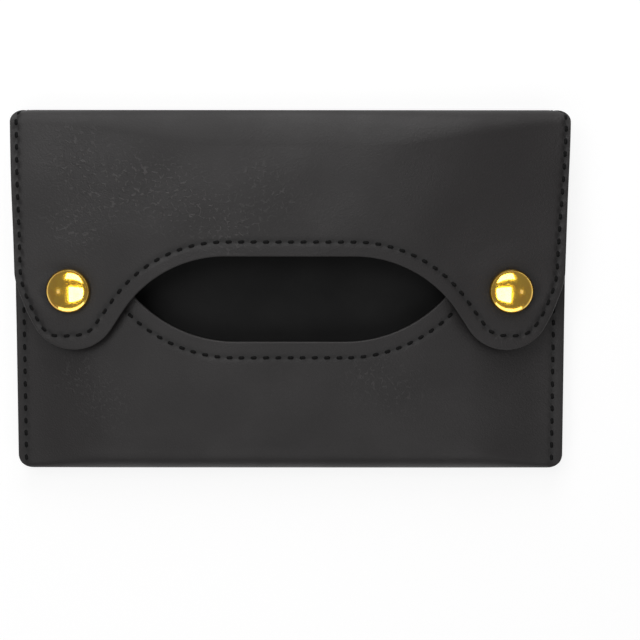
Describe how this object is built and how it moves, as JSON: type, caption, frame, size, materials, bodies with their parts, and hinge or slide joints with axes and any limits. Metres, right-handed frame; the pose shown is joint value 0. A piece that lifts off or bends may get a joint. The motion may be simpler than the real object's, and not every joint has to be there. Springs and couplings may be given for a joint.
{
  "type": "pocket tissue holder",
  "caption": "Flat folded leather pouch for pocket tissues: a lined flap with rounded lobes snaps over a curved front pocket and leaves a lens-shaped slot for the tissues.",
  "frame": {"origin": "centre of the bounding box, on the plane that the pouch's back rests on", "axes": "+X to the right along the long side, +Y up the front towards the top fold, +Z out of the front with the snaps"},
  "size_m": [0.13, 0.085, 0.0142],
  "materials": {
    "leather": "matte fine grain",
    "lining": "matte black",
    "brass": "polished",
    "spring_steel": "drawn wire"
  },
  "bodies": {
    "pouch": {"pouch_leather": "leather", "pouch_lining": "lining", "snap_stud_left": "brass", "snap_stud_right": "brass", "snap_rivet_left": "brass", "snap_rivet_right": "brass"},
    "spine": {"spine_leather": "leather", "spine_lining": "lining"},
    "flap": {"flap_leather": "leather", "flap_lining": "lining", "snap_cap_left": "brass", "snap_cap_right": "brass", "snap_socket_left": "brass", "snap_socket_right": "brass", "snap_spring_left": "spring_steel", "snap_spring_right": "spring_steel"}
  },
  "joints": [
    {"name": "spine_fold", "type": "hinge", "parent": "pouch", "child": "spine", "pos_m": [0, 0.04156, 0.00094], "axis": [-1, 0, 0], "range_deg": [0, 90]},
    {"name": "flap_fold", "type": "hinge", "parent": "spine", "child": "flap", "pos_m": [0, 0.04156, 0.00886], "axis": [-1, 0, 0], "range_deg": [0, 90]}
  ]
}
